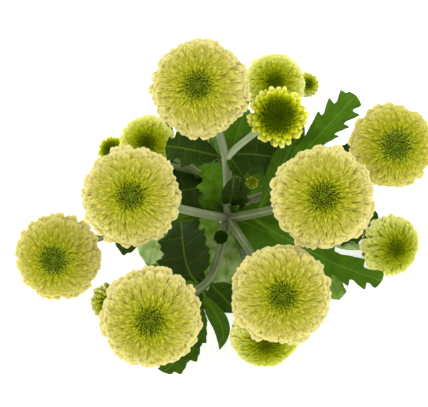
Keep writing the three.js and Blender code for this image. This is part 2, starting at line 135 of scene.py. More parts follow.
def stem_points(samples=400):
    t = np.linspace(0, 1, samples)
    run = t * STEM_LENGTH
    turn = np.maximum(0, run - STEM_LYING) / STEM_BEND_RADIUS
    forward = np.minimum(run, STEM_LYING) + STEM_BEND_RADIUS * np.sin(turn)
    rise = STEM_BEND_RADIUS * (1 - np.cos(turn))
    return np.stack([STEM_CUT[0] + STEM_SWAY * smooth(0, 1, t), STEM_CUT[1] - forward, AXIS_HEIGHT + rise], -1)


def crown_vector(across, uphill, out):
    return ACROSS * across + UPHILL * uphill + FACING * out


CROWN_MIDDLE = stem_points()[-1] - crown_vector(*FORK_IN_CROWN)


def in_crown(across, uphill, out):
    return CROWN_MIDDLE + crown_vector(across, uphill, out)


# ---- the blooms' and leaves' places
class Bloom(NamedTuple):
    name: str
    stage: str
    place: tuple  # across, uphill and out, at its widest
    size: float
    lean: tuple  # of its axis to +X and uphill, in degrees
    on: tuple  # the line its stalk leaves, and how far along
    by: tuple | None = None  # a point its stalk passes


BLOOMS = [
    Bloom("bloom_top", "full", (-6.6, 55.2, 0), 48, (-5, 2), ("stem", 1), (6, 23, -62)),
    Bloom("bloom_left", "full", (-39.8, 3.5, 0), 48.2, (2, 0), ("stem", 1)),
    Bloom("bloom_right", "full", (52, 3, 4), 50.2, (-2, 0), ("stem", 0.99)),
    Bloom("bloom_low_right", "full", (32.4, -43.8, 0), 49, (0, 0), ("stem", 1)),
    Bloom("bloom_low_left", "full", (-30.2, -54.8, 0), 49.4, (0, -5), ("stem", 1), (-3, -40, -60)),
    Bloom("bloom_far_left", "full", (-79, -26.8, -40), 44.2, (-4, -7), ("stem", 0.9), (-50, -15, -84)),
    Bloom("bloom_far_right", "full", (89.9, 29.1, -40), 43.5, (4, -2), ("stem", 0.86)),
    Bloom("bloom_right_low", "half", (95.2, -22.7, -97), 35.8, (20, -12), ("stem", 0.56)),
    Bloom("bloom_rear", "half", (31.2, 61.8, -60), 34, (0, 5), ("stem", 0.58)),
    Bloom("bloom_left_rear", "half", (-34.6, 31.4, -66), 30.8, (-3, -4), ("stem", 0.68)),
    Bloom("bloom_front_low", "half", (26.2, -67.4, -48.6), 37.8, (4, -28), ("stem", 0.78)),
    Bloom("opening_top", "opening", (31.7, 43.3, -28), 31.2, (3, 3), ("bloom_top", 0.38)),
    Bloom("opening_front_left", "young", (-55, -53, -77), 25, (-16, -12), ("stem", 0.88)),
    Bloom("opening_left", "young", (-55, 28.5, -92), 17.5, (-14, 8), ("bloom_left_rear", 0.3)),
    Bloom("opening_rear", "young", (50, 63.8, -88), 15.5, (12, 10), ("bloom_rear", 0.45)),
    Bloom("bud_middle", "bud", (3.6, -17.5, -62), 8, (0, -6), ("stem", 1)),
    Bloom("bud_inner", "bud", (20, 11, -72), 7, (12, 6), ("stem", 0.93)),
]
MIDDLE = {"full": 0.42, "half": 0.42, "opening": 0.5, "young": 0.5, "bud": 0.8}  # of the radius, base to widest
STALK_RADIUS = {"full": 2.0, "half": 1.6, "opening": 1.5, "young": 1.3, "bud": 1.0}
PALE = {"opening_top": 1.0, "bloom_top": 0.35, "bloom_left": 0.3}  # stalks in full light

EVEN_LOBES = {-1: (0.25, 0.483, 0.717, 0.95), 1: (0.367, 0.6, 0.833)}


@dataclass
class Leaf:
    name: str
    on: tuple  # the line it grows on, and how far along
    tip: tuple  # across, uphill and out
    width: float
    arch: float = 4  # how far its middle stands off the straight line
    roll: float = 0  # of the blade about its length, in degrees
    bow: float = 0  # to its right
    widest: float = 0.71  # the share of its length where it is widest
    # The shares at which the lobes to its left (-1) and right (1) end. An entire leaf has none.
    lobes: dict = field(default_factory=lambda: EVEN_LOBES)
    light: float = 0.5  # painted light and shade: from a leaf dark in shade to a brightly lit one


UPPER_RIGHT_LOBES = {-1: (0.48, 0.74, 0.84), 1: (0.35, 0.61, 0.71, 0.79, 0.88)}
LOWER_RIGHT_LOBES = {-1: (0.42, 0.6, 0.8), 1: (0.3, 0.5, 0.66, 0.78, 0.88)}
BOTTOM_LEFT_LOBES = {-1: (0.5, 0.72, 0.9), 1: (0.36, 0.6, 0.78, 0.92)}
LEAVES = [
    Leaf(
        "leaf_upper_right", ("bloom_right", 0.3), (72.6, 55.5, -50), 18, arch=7, roll=-12, bow=1, widest=0.82,
        lobes=UPPER_RIGHT_LOBES, light=0.6,
    ),
    Leaf(
        "leaf_lower_right", ("bloom_right", 0.22), (87, -39.8, -58), 17, arch=9, roll=10, bow=3, widest=0.66,
        lobes=LOWER_RIGHT_LOBES, light=0.55,
    ),
    Leaf(
        "leaf_bottom", ("bloom_low_left", 0.48), (2.7, -75.7, -58), 9.5, roll=10, bow=-12, widest=0.55,
        lobes=None, light=0.45,
    ),
    Leaf(
        "leaf_bottom_left", ("bloom_low_left", 0.5), (-26, -86.2, -48), 18, arch=5, bow=-11, widest=0.55,
        lobes=BOTTOM_LEFT_LOBES, light=0.4,
    ),
    Leaf("leaf_left_inner", ("bloom_low_left", 0.47), (-18, -8, -84), 29, roll=-8, widest=0.42, light=0.02),
    Leaf("leaf_upper_left", ("bloom_top", 0.4), (-24.5, 29.5, -48), 20, roll=8, light=0.1),
    Leaf("leaf_upper_inner", ("bloom_top", 0.39), (41, 23, -70), 24, arch=3, roll=-8, widest=0.52, light=0.12),
    Leaf("leaf_top_inner", ("bloom_top", 0.35), (16, 48, -72), 20, light=0.62),
    Leaf("leaf_fork", ("stem", 0.985), (13.5, 13.5, -55), 14, arch=2, bow=3, widest=0.55, light=0.02),
    Leaf("leaf_left_low", ("stem", 0.84), (-55, -20, -104), 26, arch=7, roll=6, light=0.15),
    Leaf("leaf_left_under", ("stem", 0.95), (-37.5, -32, -98.5), 25, arch=6, light=0.85),
    Leaf("leaf_right_low", ("stem", 0.95), (43, -22, -84), 31, arch=6, widest=0.56, light=0.55),
    Leaf("leaf_far_right", ("bloom_far_right", 0.45), (74, 28, -76), 14, light=0.1),
    Leaf("leaf_right_edge", ("bloom_right_low", 0.6), (80, -18, -94), 20, light=0.3),
    Leaf("leaf_right_under", ("bloom_right_low", 0.5), (66, -51, -80), 15, light=0.86),
    Leaf("leaf_stem_front", ("stem", 0.86), (7, -57, -79), 38, widest=0.6, light=0.93),
    Leaf("leaf_stem_left", ("stem", 0.7), (-36, 2, -114), 46, arch=7, roll=10, light=0.15),
    Leaf("leaf_stem_right", ("stem", 0.66), (38, 5, -113), 46, arch=7, roll=-10, light=0.6),
    Leaf("leaf_stem_rear_left", ("stem", 0.5), (-18, 28, -122), 42, arch=7, roll=6, light=0.7),
    Leaf("leaf_stem_rear_right", ("stem", 0.4), (25, 34, -127), 42, arch=7, roll=-6, light=0.7),
    Leaf("leaf_behind_fork", ("stem", 0.86), (-2, 21, -99), 24, widest=0.5, light=0.75),
]


def bract(on, tip, width, light, arch=1, widest=0.5, bow=0):
    """A small entire leaf on a stalk."""
    return Leaf("bract", on, tip, width, arch=arch, bow=bow, widest=widest, lobes=None, light=light)


# All in one fine piece.
BRACTS = [
    bract(("stem", 0.99), (10.5, 14, -54), 10.5, 0.0, arch=2, widest=0.62),
    bract(("bloom_top", 0.4), (16, 14, -67), 8, 0.3),
    bract(("stem", 0.985), (-8, 2, -70), 8, 0.5),
    bract(("stem", 0.98), (13, -1, -70), 7, 0.4),
    bract(("bloom_low_left", 0.42), (-13, -35, -68), 9, 0.3),
    bract(("bloom_low_left", 0.46), (-18, -43, -60), 8, 0.6),
    bract(("bloom_low_left", 0.47), (-3.5, -56, -60), 8, 0.3),
    bract(("bloom_low_left", 0.41), (11, -57, -65), 16, 0.25, bow=-2),
    bract(("bloom_left", 0.3), (-22, -8, -62), 6, 0.5),
    bract(("bloom_far_left", 0.6), (-60, -8, -72), 6, 0.4),
    bract(("bloom_right", 0.31), (46.5, 41, -55), 13, 0.45, arch=2, widest=0.6),
    bract(("bloom_right_low", 0.86), (84, -1, -88), 11, 0.7, widest=0.6),
    bract(("bloom_right_low", 0.5), (79, -25, -93), 16, 1.0, arch=2, widest=0.6),
    bract(("bloom_far_left", 0.35), (-35, -33, -91), 17, 0.97, widest=0.6),
    bract(("bloom_left_rear", 0.82), (-25, 46, -68), 13, 0.2, widest=0.6),
]


def stance(entry):
    """A bloom's axis, the middle of its base, and its radius."""
    aside, uphill = (math.tan(math.radians(a)) for a in entry.lean)
    axis = unit(crown_vector(aside, uphill, 1))
    radius = entry.size / 2
    return axis, in_crown(*entry.place) - axis * MIDDLE[entry.stage] * radius, radius


NECK = 14  # the straight end of a stalk that passes a point
STALK_FOLLOW = 0.5  # how much any other stalk starts along its line's way
STALK_EASE = 0.34  # how far its bends reach, of the distance it spans


def stalk_points(entry, lines, samples=300):
    """A stalk leaves its line partly along that line's own way, and comes up into the bloom along its axis."""
    axis, base, _ = stance(entry)
    line, share = lines[entry.on[0]], entry.on[1]
    start = line.at(share)
    end = base - axis * SEAT_GAP
    if entry.by:
        return centripetal([start, in_crown(*entry.by), end - axis * NECK, end])
    reach = np.linalg.norm(end - start)
    ahead = unit(line.way(share) * STALK_FOLLOW + unit(end - start))
    controls = [start, start + ahead * reach * STALK_EASE, end - axis * reach * STALK_EASE, end]
    return bezier(controls, np.linspace(0, 1, samples))


LINES = {"stem": Line(stem_points())}
for each in BLOOMS:
    LINES[each.name] = Line(stalk_points(each, LINES))


# ---- meshes
def pressed(points, soft=2.5):
    """Points, with what would reach the surface flattened onto it."""
    found = points.copy()
    z = found[..., 2]
    found[..., 2] = np.where(z < soft, soft * np.exp((np.minimum(z, soft) - soft) / soft), z)
    return found


FOLD_ANGLE = math.radians(65)


def add_object(name, data):
    found = bpy.data.objects.new(name, data)
    bpy.context.scene.collection.objects.link(found)
    return found


def make_mesh(name, parts, material):
    """One mesh from parts: (points in mm, faces of three or four corners, {attribute: values})."""
    points, loops, counts, numbers = [], [], [], {}
    start = 0
    for part_points, faces, values in parts:
        flat = part_points.reshape(-1, 3)
        points.append(flat)
        loops.append((faces + start).reshape(-1))
        counts.append(np.full(len(faces), faces.shape[1]))
        start += len(flat)
        for key, value in values.items():
            numbers.setdefault(key, []).append(np.broadcast_to(value, (len(flat),)).astype(np.float32))
    points, loops, counts = np.concatenate(points), np.concatenate(loops), np.concatenate(counts)
    mesh = bpy.data.meshes.new(name)
    mesh.vertices.add(len(points))
    mesh.vertices.foreach_set("co", (pressed(points) * MM).astype(np.float32).ravel())
    mesh.loops.add(len(loops))
    mesh.loops.foreach_set("vertex_index", loops.astype(np.int32))
    mesh.polygons.add(len(counts))
    mesh.polygons.foreach_set("loop_start", (np.cumsum(counts) - counts).astype(np.int32))
    mesh.polygons.foreach_set("loop_total", counts.astype(np.int32))
    mesh.polygons.foreach_set("use_smooth", np.ones(len(counts), bool))
    for key, value in numbers.items():
        mesh.attributes.new(key, "FLOAT", "POINT").data.foreach_set("value", np.concatenate(value))
    mesh.update(calc_edges=True)
    mesh.validate()
    mesh.set_sharp_from_angle(angle=FOLD_ANGLE)
    mesh.materials.append(material)
    return add_object(name, mesh)


def add_piece(name, parts, slot, *nodes):
    """A piece of the object, in place of the nodes."""
    piece = make_mesh(name, parts, MATERIALS[slot])
    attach(piece, "root")
    if nodes:
        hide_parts(*nodes)


def quads(grid):
    return np.stack([grid[:-1, :-1], grid[:-1, 1:], grid[1:, 1:], grid[1:, :-1]], -1).reshape(-1, 4)


def lens_template(rows, cols):
    """Quads of a closed thin shell of rows by cols points, and the face points that its back's own points lie under.
    The face and the back share the shell's border."""
    face = np.arange(rows * cols).reshape(rows, cols)
    back = face.copy()
    inner = face[1:-1, 1:-1].ravel()
    back[1:-1, 1:-1] = rows * cols + np.arange(len(inner)).reshape(rows - 2, cols - 2)
    return np.concatenate([quads(face), quads(back)[:, ::-1]]), inner


def shells(middle, half, values):
    """Closed thin shells from their middle surfaces, (count, rows, cols, 3), and half thicknesses. values are
    (count, rows, cols) attributes. The attribute 'face' is 1 on the face and 0 on the back."""
    count, rows, cols, _ = middle.shape
    normal = unit(np.cross(np.gradient(middle, axis=2), np.gradient(middle, axis=1)))
    template, inner = lens_template(rows, cols)
    flat = middle.reshape(count, rows * cols, 3)
    lift = (normal * half[..., None]).reshape(count, rows * cols, 3)
    points = np.concatenate([flat + lift, (flat - lift)[:, inner]], 1)
    each = points.shape[1]
    faces = (template[None] + (np.arange(count) * each)[:, None, None]).reshape(-1, 4)
    found = {}
    for key, value in values.items():
        spread = np.broadcast_to(value, (count, rows, cols)).reshape(count, -1)
        found[key] = np.concatenate([spread, spread[:, inner]], 1).ravel()
    on_face = np.concatenate([np.ones((count, rows * cols)), np.zeros((count, len(inner)))], 1)
    found["face"] = on_face.ravel()
    return points.reshape(-1, 3), faces, found


def tube(rings, ends, values):
    """The parts of a closed tube through rings of points, (rows, sides, 3), with fans to its two end points."""
    rows, sides = rings.shape[:2]
    grid = np.arange(rows * sides).reshape(rows, sides)
    closed = np.column_stack([grid, grid[:, 0]])
    points = np.concatenate([rings.reshape(-1, 3), ends])
    first, last = np.full(sides, rows * sides), np.full(sides, rows * sides + 1)
    fans = [np.stack([closed[0, 1:], grid[0], first], -1), np.stack([grid[-1], closed[-1, 1:], last], -1)]
    # The fans' part has no points of its own, and counts back to those of the part before it.
    return [(points, quads(closed), values), (points[:0], np.concatenate(fans) - len(points), {})]


def rod(line, shares, radii, sides, values, ribs, rib_depth, turn=0.0, slant=0.0):
    """A closed rod along a line, with lengthwise ribs."""
    middle, ahead = line.at(shares), line.way(shares)
    level = unit(np.cross(ahead[0], UP if abs(ahead[0][2]) < 0.9 else ACROSS))
    levels = []
    for way in ahead:  # carried along without spin
        level = unit(level - way * np.dot(level, way))
        levels.append(level)
    levels = np.array(levels)
    upright = np.cross(levels, ahead)
    angle = np.arange(sides) * 2 * math.pi / sides + turn
    ridge = np.cos(ribs * angle)
    reach = np.asarray(radii)[:, None] * (1 + rib_depth * ridge[None])
    rings = (
        middle[:, None]
        + levels[:, None] * (reach * np.cos(angle))[..., None]
        + upright[:, None] * (reach * np.sin(angle))[..., None]
    )
    rings[0, :, 1] += (rings[0, :, 2] - middle[0, 2]) * slant
    found = {"ridge": np.concatenate([np.tile(ridge, len(shares)), [0, 0]])}
    for key, value in values.items():
        along = np.broadcast_to(value, (len(shares),))
        found[key] = np.concatenate([np.repeat(along, sides), along[[0, -1]]])
    return tube(rings, rings[[0, -1]].mean(1), found)


# ---- petals
GOLDEN = math.radians(137.508)
# Along a bloom from its outermost petal to its middle: the share of its petals so far, then each petal's root,
# belly and tip as (from the axis, above the base), its width, all as shares of the radius, and its cupping in degrees.
FULL_HEAD = [
    (0.00, 0.40, 0.24, 0.80, 0.43, 1.035, 0.33, 0.29, 16),
    (0.05, 0.40, 0.30, 0.80, 0.52, 1.03, 0.39, 0.28, 16),
    (0.055, 0.40, 0.30, 0.80, 0.53, 0.965, 0.40, 0.25, 7),
    (0.10, 0.40, 0.34, 0.78, 0.64, 0.955, 0.48, 0.21, 8),
    (0.17, 0.38, 0.38, 0.71, 0.76, 0.925, 0.59, 0.19, 9),
    (0.25, 0.35, 0.43, 0.62, 0.84, 0.84, 0.70, 0.17, 14),
    (0.36, 0.31, 0.49, 0.53, 0.90, 0.74, 0.80, 0.14, 24),
    (0.49, 0.26, 0.54, 0.43, 0.93, 0.63, 0.87, 0.112, 36),
    (0.62, 0.22, 0.58, 0.35, 0.94, 0.53, 0.93, 0.095, 52),
    (0.74, 0.18, 0.59, 0.28, 0.93, 0.43, 0.965, 0.085, 76),
    (0.83, 0.15, 0.60, 0.24, 0.91, 0.345, 0.985, 0.095, 100),
    (0.89, 0.12, 0.62, 0.19, 0.89, 0.26, 0.985, 0.11, 120),
    (0.94, 0.08, 0.64, 0.14, 0.87, 0.18, 0.98, 0.11, 130),
    (1.00, 0.02, 0.66, 0.025, 0.85, 0.03, 0.975, 0.10, 130),
]
HALF_HEAD = [
    (0.00, 0.36, 0.24, 0.78, 0.46, 0.99, 0.34, 0.285, 6),
    (0.10, 0.36, 0.32, 0.75, 0.63, 0.97, 0.48, 0.27, 7),
    (0.22, 0.33, 0.39, 0.66, 0.76, 0.88, 0.63, 0.235, 10),
    (0.34, 0.28, 0.47, 0.54, 0.83, 0.76, 0.75, 0.175, 20),
    (0.48, 0.22, 0.53, 0.42, 0.87, 0.62, 0.84, 0.135, 36),
    (0.63, 0.19, 0.57, 0.31, 0.87, 0.47, 0.89, 0.105, 66),
    (0.78, 0.15, 0.58, 0.23, 0.84, 0.32, 0.91, 0.115, 100),
    (0.90, 0.09, 0.60, 0.13, 0.81, 0.18, 0.91, 0.125, 125),
    (1.00, 0.02, 0.62, 0.025, 0.78, 0.03, 0.90, 0.115, 130),
]
OPENING_HEAD = [
    (0.000, 0.40, 0.36, 0.78, 0.50, 1.03, 0.48, 0.29, 14),
    (0.107, 0.40, 0.40, 0.78, 0.55, 1.015, 0.54, 0.28, 14),
    (0.112, 0.40, 0.42, 0.70, 0.60, 0.91, 0.63, 0.28, 16),
    (0.24, 0.38, 0.48, 0.64, 0.66, 0.78, 0.70, 0.25, 26),
    (0.30, 0.36, 0.52, 0.54, 0.67, 0.60, 0.72, 0.13, 70),
    (0.60, 0.22, 0.54, 0.34, 0.68, 0.36, 0.72, 0.09, 90),
    (1.00, 0.01, 0.54, 0.02, 0.66, 0.02, 0.70, 0.08, 105),
]
YOUNG_HEAD = [
    (0.00, 0.36, 0.38, 0.78, 0.51, 1.0, 0.52, 0.44, 18),
    (0.20, 0.34, 0.46, 0.68, 0.64, 0.86, 0.70, 0.38, 26),
    (0.36, 0.32, 0.52, 0.52, 0.70, 0.62, 0.77, 0.26, 46),
    (0.48, 0.28, 0.54, 0.40, 0.70, 0.45, 0.76, 0.12, 80),
    (1.00, 0.01, 0.54, 0.02, 0.66, 0.02, 0.70, 0.09, 105),
]
BUD_HEAD = [
    (0.00, 0.44, 0.05, 0.90, 0.44, 0.90, 0.86, 0.62, 30),
    (0.40, 0.70, 0.40, 0.94, 0.90, 0.74, 1.26, 0.52, 34),
    (0.75, 0.60, 0.80, 0.66, 1.26, 0.36, 1.50, 0.40, 40),
    (1.00, 0.20, 1.10, 0.26, 1.42, 0.06, 1.52, 0.30, 50),
]
# The petals under a head in the same way, with heights for a head whose middle lies 0.42 above its base.
UNDER_HEAD = [
    (0.0, 0.33, 0.00, 0.62, 0.07, 0.90, 0.22, 0.27, 6),
    (0.5, 0.34, 0.02, 0.67, 0.12, 0.95, 0.29, 0.27, 6),
    (1.0, 0.36, 0.07, 0.72, 0.20, 0.98, 0.36, 0.27, 6),
]
UNDER_PETALS = {"full": 52, "half": 40, "opening": 28, "young": 20, "bud": 0}
UNDER_TAPER = (0.3, 0.4)
# The green scales that stand round a head's cup.
SCALES = [
    (0.0, 0.25, -0.17, 0.39, -0.06, 0.58, 0.035, 0.22, 12),
    (1.0, 0.24, -0.18, 0.36, -0.08, 0.47, -0.01, 0.20, 12),
]
SCALE_COUNT = {"full": 20, "half": 18, "opening": 16, "young": 14, "bud": 0}
SCALE_TAPER = (0.7, 0.8)
# The closed body under a head's petals: its rings from the base up and its top, as (from the axis, above the base).
CORES = {
    "full": [(0.34, 0), (0.6, 0.18), (0.66, 0.46), (0.5, 0.72), (0.22, 0.84), (0.0, 0.84)],
    "half": [(0.34, 0), (0.6, 0.2), (0.64, 0.46), (0.48, 0.68), (0.2, 0.76), (0.0, 0.76)],
    "opening": [(0.36, 0), (0.56, 0.2), (0.56, 0.46), (0.42, 0.62), (0.16, 0.64), (0.0, 0.64)],
    "young": [(0.36, 0), (0.56, 0.2), (0.56, 0.46), (0.42, 0.62), (0.16, 0.64), (0.0, 0.64)],
    "bud": [(0.42, 0), (0.8, 0.34), (0.9, 0.8), (0.72, 1.2), (0.4, 1.4), (0.0, 1.42)],
}
# Each stage's head, the petals of each kind from the outermost in, how much a petal narrows to its tip (at the rim,
# within), and its material slot.
HEADS = {
    "full": (FULL_HEAD, {"broad": 190, "narrow": 360, "tube": 120}, (0.14, 0.42), "petal_cream"),
    "half": (HALF_HEAD, {"broad": 110, "narrow": 220, "tube": 90}, (0.2, 0.45), "petal_lime"),
    "opening": (OPENING_HEAD, {"broad": 52, "tube": 152}, (0.36, 0.5), "petal_young"),
    "young": (YOUNG_HEAD, {"broad": 36, "tube": 64}, (0.55, 0.5), "petal_young"),
    "bud": (BUD_HEAD, {"broad": 22}, (0.7, 0.7), "bud_green"),
}
# The rows, as shares of a petal's length, and how many points across it.
PETAL_GRIDS = {
    "broad": ((0, 0.25, 0.46, 0.64, 0.78, 0.89, 0.96, 1), 7),
    "narrow": ((0, 0.3, 0.55, 0.75, 0.9, 1), 5),
    "tube": ((0, 0.4, 0.7, 0.88, 1), 7),
    "under": ((0, 0.3, 0.55, 0.78, 0.93, 1), 5),
    "scale": ((0, 0.35, 0.7, 1), 5),
}
PETAL_HALF_THICKNESS = 0.11
TIP_THICKNESS, TUBE_TIP_THICKNESS = 0.75, 1.1  # of the root's
BELLY_AT = 0.56  # of a petal's length
RIM_LOBES, RIM_LOBE_DEPTH = (4, 7, 11), 0.011  # in which a head's rim swells and sinks
# How far petals differ: their tips' and bellies' heights, their widths, narrowing, twist, sideways bend and place.
TIP_STRAY, BELLY_STRAY, WIDTH_STRAY, TAPER_STRAY = 0.015, 0.01, 0.16, 0.16
TWIST_STRAY, BEND_STRAY, PLACE_STRAY = 0.12, 0.045, 0.06
NOTCH_IN_TIP, TIP_CURL, RIPPLE = 0.08, (0.01, 0.02), 0.012


def petal_shells(which, count, head, taper, radius, painted_shade, rng, kind):
    """The petals numbered by which, of count in the head, as closed shells in the bloom's own frame."""
    rows, cols = np.array(PETAL_GRIDS[kind][0]), PETAL_GRIDS[kind][1]
    share = (which + 0.5) / count
    knots = np.array(head)
    read = [np.interp(share, knots[:, 0], knots[:, k]) for k in range(1, 9)]
    root, belly, tip = (np.stack([read[k], read[k + 1]], -1) for k in (0, 2, 4))
    width, cup = read[6], np.radians(read[7])
    short, high, placed, wide, twisted, bent_by, curled, notched = rng.uniform(-1, 1, (8, len(which)))
    wild = mix(1.0, 0.45, smooth(0.5, 1, share))  # the middle is the most orderly
    ragged = mix(0.09, 0.05, smooth(0, 0.2, share))
    swell = sum(RIM_LOBE_DEPTH * np.sin(turns * GOLDEN * which + rng.uniform(0, 6)) for turns in RIM_LOBES)
    tip = tip * (1 + swell * smooth(0.35, 0.1, share) - ragged * np.abs(short) * wild)[:, None]
    tip[:, 1] += TIP_STRAY * high * wild
    belly[:, 1] += BELLY_STRAY * placed * wild
    width = width * (1 + WIDTH_STRAY * wide)
    narrowing = mix(*taper, smooth(0.12, 0.4, share))[:, None, None]
    bent = (belly - (1 - BELLY_AT) ** 2 * root - BELLY_AT**2 * tip) / (2 * BELLY_AT * (1 - BELLY_AT))

    u = np.linspace(-1, 1, cols)[None, None]
    v = rows[None, :, None]
    reach = np.linalg.norm(tip - root, axis=1)[:, None, None]
    half = (width / 2)[:, None, None]
    shape = mix(0.42, 1, smooth(0, 0.72, v)) * (1 - narrowing * smooth(0.5, 1, v))
    # The rows bow forward in the middle, so that the tip is round, or pointed where the petal narrows.
    pointed = np.clip(narrowing + (TAPER_STRAY * curled)[:, None, None], 0.02, 0.85)
    lag = half / reach * mix(0.8, 1.7, np.minimum(pointed * 1.5, 1))
    along = v - lag * (1 - np.sqrt(1 - (0.96 * u) ** 2)) * smooth(0.35, 1, v)
    if kind == "broad":
        notch = (NOTCH_IN_TIP * np.abs(notched))[:, None, None]
        along = along - notch * np.exp(-((u / 0.25) ** 2)) * smooth(0.8, 1, v)
    t = np.clip(along, 0, 1)[..., None]
    r0, b0, t0 = (x[:, None, None] for x in (root, bent, tip))
    line = (1 - t) ** 2 * r0 + 2 * t * (1 - t) * b0 + t**2 * t0
    way = unit(2 * (1 - t) * (b0 - r0) + 2 * t * (t0 - b0))
    inward = np.stack([-way[..., 1], way[..., 0]], -1)

    flare = 0 if kind == "tube" else 0.25
    opening = cup[:, None, None] * mix(0.75, 1, smooth(0, 0.8, v)) * (1 - flare * smooth(0.8, 1, v))
    spread = half * shape
    aside = spread / opening * np.sin(u * opening)
    rise = spread / opening * (1 - np.cos(u * opening))
    twist = (TWIST_STRAY * twisted)[:, None, None] * v
    aside, rise = aside * np.cos(twist) - rise * np.sin(twist), aside * np.sin(twist) + rise * np.cos(twist)
    aside = aside + (BEND_STRAY * bent_by * wild)[:, None, None] * v**2
    curl = TIP_CURL[0] + TIP_CURL[1] * curled * wild
    rise = rise + curl[:, None, None] * smooth(0.6, 1, v) ** 2
    ripple = RIPPLE * np.sin(5 * u + 9 * v + 20 * notched[:, None, None]) * v
    rise = rise + ripple * mix(1, 0.3, smooth(0.3, 0.8, share))[:, None, None]

    out = line[..., 0] + inward[..., 0] * rise
    up = line[..., 1] + inward[..., 1] * rise
    angle = (which * GOLDEN + PLACE_STRAY * placed)[:, None, None]
    cos, sin = np.cos(angle), np.sin(angle)
    middle = np.stack([out * cos + aside * sin, out * sin - aside * cos, up], -1)
    thinning = mix(1, TUBE_TIP_THICKNESS if kind == "tube" else TIP_THICKNESS, v)
    thick = PETAL_HALF_THICKNESS / radius * np.sqrt(np.clip(1 - u**4, 0, 1)) * thinning
    tint = rng.uniform(0, 1, len(which))[:, None, None]
    values = {
        # The tone is moved by the head's painted shade.
        "tone": np.hypot(middle[..., 0], middle[..., 1]) - painted_shade,
        "along": v,
        "edge": np.abs(u),
        "tint": tint,
        "grain_u": u * spread * radius + 40 * tint,
        "grain_v": along * reach * radius,
    }
    return shells(middle * radius, thick * radius, values)


CORE_SIDES = 28


def core_part(profile, radius):
    """The closed body under the petals."""
    rings = np.array(profile[:-1])
    angle = np.arange(CORE_SIDES) * 2 * math.pi / CORE_SIDES
    out, up = rings[:, :1], np.broadcast_to(rings[:, 1:], (len(rings), CORE_SIDES))
    places = np.stack([out * np.cos(angle), out * np.sin(angle), up], -1)
    ends = np.array([(0, 0, 0), (0, 0, profile[-1][1])])
    values = {"tone": 0.3, "along": 0.7, "edge": 0.0, "tint": 0.5, "grain_u": 0.0, "grain_v": 0.0, "face": 0.0}
    return tube(places * radius, ends * radius, values)


# Painted shade on heads that lie deep or far from the lamps, and below 0 painted light on heads in shade: how far a
# head's tone lies towards its green middle, or below 0 towards its rim.
PAINTED_SHADE = {
    "bloom_far_left": 0.08, "bloom_far_right": 0.13, "bloom_left_rear": 0.07,
    "opening_front_left": -0.3, "opening_rear": -0.22,
}
SLOTS = {"bud_inner": "petal_lime"}  # where it isn't its stage's
UNDER_GREENER = 0.1
BLOOM_SEED, LEAF_SEED, SCALE_SEED = 100, 500, 900


def frame_of(axis):
    """The matrix that turns a bloom's own frame to the part's by the shortest way."""
    return np.array(Vector(UP).rotation_difference(Vector(axis)).to_matrix())


def bloom(entry, index):
    axis, base, radius = stance(entry)
    head, kinds, taper, slot = HEADS[entry.stage]
    slot = SLOTS.get(entry.name, slot)
    rng = np.random.default_rng(BLOOM_SEED + index)
    painted_shade = PAINTED_SHADE.get(entry.name, 0)
    parts = []
    first, total = 0, sum(kinds.values())
    for kind, count in kinds.items():
        which = np.arange(first, first + count)
        parts.append(petal_shells(which, total, head, taper, radius, painted_shade, rng, kind))
        first += count
    count = UNDER_PETALS[entry.stage]
    if count:
        lower = np.array(UNDER_HEAD)
        lower[:, [2, 4, 6]] *= MIDDLE[entry.stage] / MIDDLE["full"]
        under_greener = painted_shade + UNDER_GREENER
        parts.append(petal_shells(np.arange(count), count, lower, UNDER_TAPER, radius, under_greener, rng, "under"))
    parts += core_part(CORES[entry.stage], radius)
    turn = frame_of(axis)
    placed = [(points @ turn.T + base, faces, values) for points, faces, values in parts]
    add_piece(entry.name + "_head", placed, slot, entry.name)


# ---- leaves
LEAF_GRID, BRACT_GRID = (97, 13), (25, 9)  # points along a blade and across it
PETIOLE_SHARE, PETIOLE_RADIUS, PETIOLE_HALF_THICKNESS = 0.16, 0.9, 0.62
FOOT_REACH, TIP_REACH = 0.28, 0.36  # how far the bends of its line reach, of its length
RIB_SLANT = 0.5  # how much its foot leans along the stalk
NOTCH_DEPTH, LEAST_NOTCH, NOTCH_STRAY = 0.5, 0.06, 0.05
NOTCH_AT, TOOTH_AT = 0.28, 0.3  # where the step down into a notch ends, of a lobe or a small tooth
TOOTH_DEPTH, ENTIRE_TOOTH = 0.11, 0.015
SWEEP, ENTIRE_SWEEP = 0.05, 0.3  # the lobes point ahead
BLADE_LIFT, QUILTING, FLUTTER = 0.16, 0.35, 0.035  # its two sides stand up, swell between veins, and wave
RIB_SINK, RIB_WIDTH = 0.35, 0.9
BLADE_HALF_THICKNESS, RIB_THICKNESS, RIB_SPREAD = 0.17, 0.5, 1.1


def along_blade(share):
    return np.clip((share - PETIOLE_SHARE) / (1 - PETIOLE_SHARE), 0, 1)


def reach_at(share, each):
    """How far the blade reaches to each side, as a share of its half width."""
    start, stretch, fullness = (0.05, 0.8, 0.6) if each.lobes else (0.06, 0.92, 0.85)
    power = math.log((0.5 - start) / stretch) / math.log(along_blade(each.widest))
    return np.sin(math.pi * (start + stretch * along_blade(share) ** power)) ** fullness


def teeth(share, ends):
    """How many lobes lie before a share of the length, 1 at each lobe's tip and 0 in each notch, and the small teeth
    between. A lobe rises slowly and points ahead."""
    ends = np.array(ends)
    gaps = np.diff(ends)
    knots = np.concatenate([[ends[0] - 3 * gaps[0]], ends, [ends[-1] + 3 * gaps[-1]]])
    counts = np.concatenate([[-3], np.arange(len(ends)), [len(ends) + 2]])
    passed = np.interp(share, knots, counts)
    phase = passed % 1
    wave = np.where(phase < NOTCH_AT, 1 - smooth(0, NOTCH_AT, phase), smooth(NOTCH_AT, 1, phase))
    small = (3 * phase) % 1
    return passed, wave, np.where(small < TOOTH_AT, 1 - small / TOOTH_AT, (small - TOOTH_AT) / (1 - TOOTH_AT))


